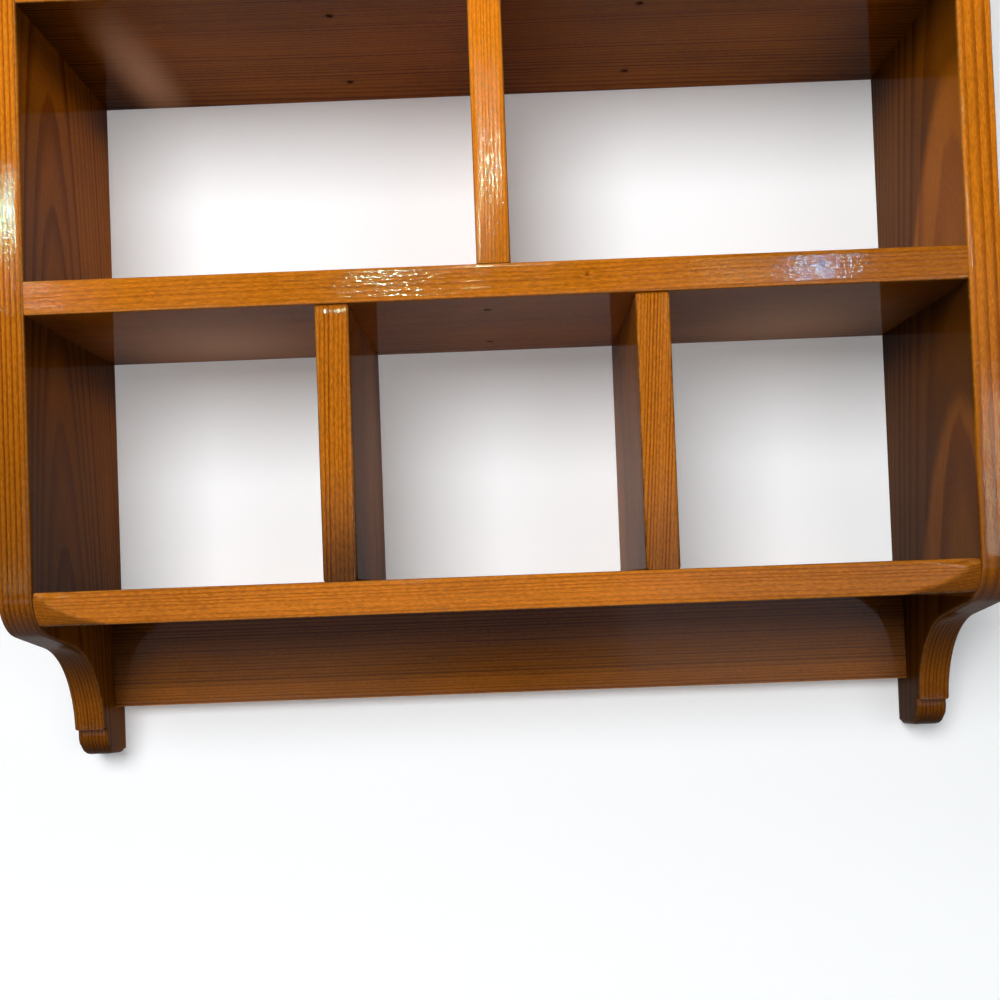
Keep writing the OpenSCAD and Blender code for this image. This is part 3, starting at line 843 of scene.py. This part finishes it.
world = bpy.data.worlds.new("studio")
bpy.context.scene.world = world
world.use_nodes = True
world_nodes = world.node_tree.nodes
world_links = world.node_tree.links
world_nodes.clear()
light_path = world_nodes.new("ShaderNodeLightPath")
bright = world_nodes.new("ShaderNodeMath")
bright.operation = "MAXIMUM"
world_links.new(light_path.outputs["Is Camera Ray"], bright.inputs[0])
world_links.new(light_path.outputs["Is Transmission Ray"], bright.inputs[1])
level = world_nodes.new("ShaderNodeMapRange")
level.inputs["To Min"].default_value = 0.07
level.inputs["To Max"].default_value = 1.0
world_links.new(bright.outputs[0], level.inputs["Value"])
sky = world_nodes.new("ShaderNodeBackground")
sky.inputs["Color"].default_value = (1, 1, 1, 1)
world_links.new(level.outputs[0], sky.inputs["Strength"])
world_out = world_nodes.new("ShaderNodeOutputWorld")
world_links.new(sky.outputs[0], world_out.inputs["Surface"])


def lamp(name, place, target, size, energy, colour=(1, 1, 1), glint=False, hidden=False):
    """A rectangular lamp. A glint shows only in the varnish, a hidden one only lights."""
    data = bpy.data.lights.new(name, "AREA")
    data.shape = "RECTANGLE"
    data.size, data.size_y = size
    data.energy = energy
    data.color = colour
    obj = bpy.data.objects.new(name, data)
    obj.location = place
    obj.rotation_euler = (Vector(target) - Vector(place)).to_track_quat("-Z", "Y").to_euler()
    obj.visible_diffuse = not glint
    obj.visible_glossy = not hidden
    obj.visible_camera = False
    bpy.context.scene.collection.objects.link(obj)


middle = (0.0, -0.07, -0.38)
lamp("key", (-0.55, -2.05, 0.2), middle, (1.1, 1.0), 41.5, hidden=True)
lamp("fill", (1.3, -2.2, -0.2), middle, (1.2, 1.2), 7, hidden=True)
warm = (0.45, 1.0, 0.8)
cool = (0.7, 0.82, 1.0)
blue = (0.2, 0.66, 1.0)
lamp("window_left", (-1.10, -2.0, 0.32), middle, (0.09, 0.06), 30, warm, glint=True)
lamp("window_left_low", (-1.02, -2.0, 0.145), middle, (0.04, 0.03), 1.2, cool, glint=True)
lamp("window_high", (-0.98, -0.78, 1.2), (-0.24, -0.137, -0.54), (0.16, 0.16), 14, warm, glint=True)
lamp("sill_left", (-1.08, -2.0, -0.55), middle, (0.12, 0.12), 1.2, warm, glint=True)
lamp("window_middle", (-0.248, -2.0, 0.225), middle, (0.09, 0.06), 24, warm, glint=True)
lamp("pane_middle", (-0.012, -2.0, 0.37), middle, (0.08, 0.05), 20, warm, glint=True)
lamp("pane_middle_high", (-0.012, -2.0, 0.5), middle, (0.12, 0.16), 4, warm, glint=True)
lamp("window_right", (0.712, -2.0, 0.126), middle, (0.1, 0.05), 7, blue, glint=True)
lamp("pane_shelf", (0.523, -2.0, 0.118), middle, (0.155, 0.12), 1.2, (1.0, 0.9, 0.55), glint=True)
lamp("pane_right", (1.1, -2.0, -0.36), middle, (0.16, 0.4), 14, (0.7, 0.9, 0.8), glint=True)
for i, (width, height, energy) in enumerate([(0.4, 0.6, 3), (0.6, 0.76, 5.4), (0.84, 0.9, 9)]):
    lamp(f"haze_right_{i}", (0.68, -2.0, -0.33), middle, (width, height), energy, cool, glint=True)
lamp("haze_bottom", (0.0, -2.0, -0.5), middle, (2.0, 0.4), 12, cool, glint=True)
lamp("haze_low", (0.0, -1.3, -0.95), (0.0, -0.1, -0.56), (1.8, 0.4), 14, cool, glint=True)


# Camera

# The camera stands a little below the middle, as the photograph was taken. Angles in radians
CAMERA_PLACE = (0.00186, -0.74041, -0.53834)
YAW = -0.007142
PITCH = 0.0215008
ROLL = 0.0373076
LENS = 40.46
SENSOR = 36
SHIFT_UP = 0.0575


def camera(yaw, pitch, roll):
    """Aims by the turn to the right, the tilt upwards and the roll."""
    sin_yaw, cos_yaw = math.sin(yaw), math.cos(yaw)
    sin_pitch, cos_pitch = math.sin(pitch), math.cos(pitch)
    ahead = Vector((sin_yaw * cos_pitch, cos_yaw * cos_pitch, sin_pitch))
    level_right = Vector((cos_yaw, -sin_yaw, 0))
    level_up = level_right.cross(ahead)
    right = level_right * math.cos(roll) - level_up * math.sin(roll)
    up = level_right * math.sin(roll) + level_up * math.cos(roll)
    data = bpy.data.cameras.new("camera")
    data.lens = LENS
    data.sensor_width = SENSOR
    data.shift_y = SHIFT_UP
    obj = bpy.data.objects.new("camera", data)
    matrix = Matrix((right, up, -ahead)).transposed().to_4x4()
    matrix.translation = CAMERA_PLACE
    obj.matrix_world = matrix
    bpy.context.scene.collection.objects.link(obj)
    bpy.context.scene.camera = obj


camera(YAW, PITCH, ROLL)
bpy.context.scene.view_settings.view_transform = "Standard"
